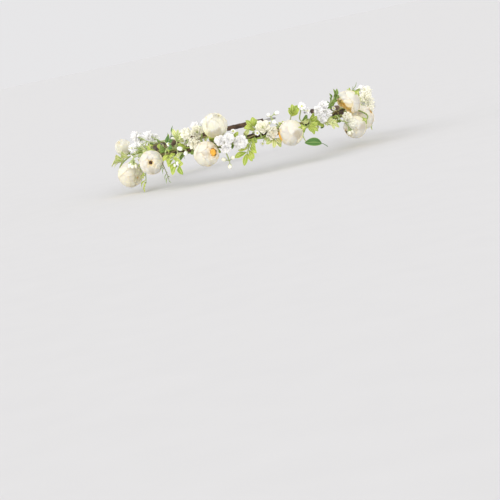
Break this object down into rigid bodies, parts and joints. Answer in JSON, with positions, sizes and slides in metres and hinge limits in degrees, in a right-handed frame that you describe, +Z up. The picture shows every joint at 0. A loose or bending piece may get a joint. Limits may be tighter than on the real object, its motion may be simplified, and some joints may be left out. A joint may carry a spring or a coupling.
{
  "type": "flower crown",
  "caption": "Open-backed wire hair crown wrapped in brown tape, with ivory ball-shaped blooms, white florets and leaf sprigs bound round it.",
  "frame": {"origin": "centre of the head opening, in the plane of the band", "axes": "+Z up along the wearer's head, -Y towards the forehead, +X towards the wearer's left"},
  "size_m": [0.2045, 0.2285, 0.0515],
  "materials": {
    "core_wire": "bare florist's wire",
    "floral_tape": "brown crepe floral tape, wound in overlapping turns",
    "ivory_petal": "ivory pressed-cloth petals",
    "bloom_stem": "green coated wire with a calyx and a golden foam core",
    "white_floret": "white moulded florets on thin stalks",
    "pale_floret": "pale green moulded florets on thin stalks",
    "green_leaf": "green leaves with a raised midrib",
    "pale_leaf": "pale green leaves with a raised midrib",
    "dark_leaf": "dark green leaves with a raised midrib"
  },
  "bodies": {
    "front": {"bloom_01_petals": "ivory_petal", "bloom_01_stem": "bloom_stem", "bloom_02_petals": "ivory_petal", "bloom_02_stem": "bloom_stem", "bloom_03_petals": "ivory_petal", "bloom_03_stem": "bloom_stem", "bloom_04_petals": "ivory_petal", "bloom_04_stem": "bloom_stem", "bloom_05_petals": "ivory_petal", "bloom_05_stem": "bloom_stem", "bloom_06_petals": "ivory_petal", "bloom_06_stem": "bloom_stem", "bloom_07_petals": "ivory_petal", "bloom_07_stem": "bloom_stem", "bloom_08_petals": "ivory_petal", "bloom_08_stem": "bloom_stem", "bloom_09_petals": "ivory_petal", "bloom_09_stem": "bloom_stem", "bloom_10_petals": "ivory_petal", "bloom_10_stem": "bloom_stem", "bloom_11_petals": "ivory_petal", "bloom_11_stem": "bloom_stem", "bud_spray_01": "white_floret", "bud_spray_02": "pale_floret", "core_wire_front": "core_wire", "floret_01": "white_floret", "floret_02": "white_floret", "floret_03": "white_floret", "floret_04": "white_floret", "floret_05": "pale_floret", "floret_06": "white_floret", "floret_07": "white_floret", "floret_08": "white_floret", "floret_09": "pale_floret", "floret_10": "white_floret", "floret_11": "white_floret", "floret_12": "pale_floret", "floret_13": "pale_floret", "floret_14": "white_floret", "leaf_sprig_01": "green_leaf", "leaf_sprig_02": "pale_leaf", "leaf_sprig_03": "green_leaf", "leaf_sprig_04": "dark_leaf", "leaf_sprig_05": "pale_leaf", "leaf_sprig_06": "green_leaf", "leaf_sprig_07": "green_leaf", "leaf_sprig_08": "green_leaf", "leaf_sprig_09": "pale_leaf", "leaf_sprig_10": "dark_leaf", "leaf_sprig_11": "green_leaf", "leaf_sprig_12": "green_leaf", "leaf_sprig_13": "pale_leaf", "leaf_sprig_14": "green_leaf", "leaf_sprig_15": "green_leaf", "leaf_sprig_16": "green_leaf", "tape_wrap_front": "floral_tape"},
    "left_tail": {"core_wire_left_tail": "core_wire", "tape_wrap_left_tail": "floral_tape"},
    "right_tail": {"core_wire_right_tail": "core_wire", "tape_wrap_right_tail": "floral_tape"}
  },
  "joints": [
    {"name": "left_tail_flex", "type": "hinge", "parent": "front", "child": "left_tail", "pos_m": [0.0536, 0.07562, 0], "axis": [0, 0, 1], "range_deg": [-25, 20]},
    {"name": "right_tail_flex", "type": "hinge", "parent": "front", "child": "right_tail", "pos_m": [-0.0536, 0.07562, 0], "axis": [0, 0, -1], "range_deg": [-25, 20]}
  ]
}
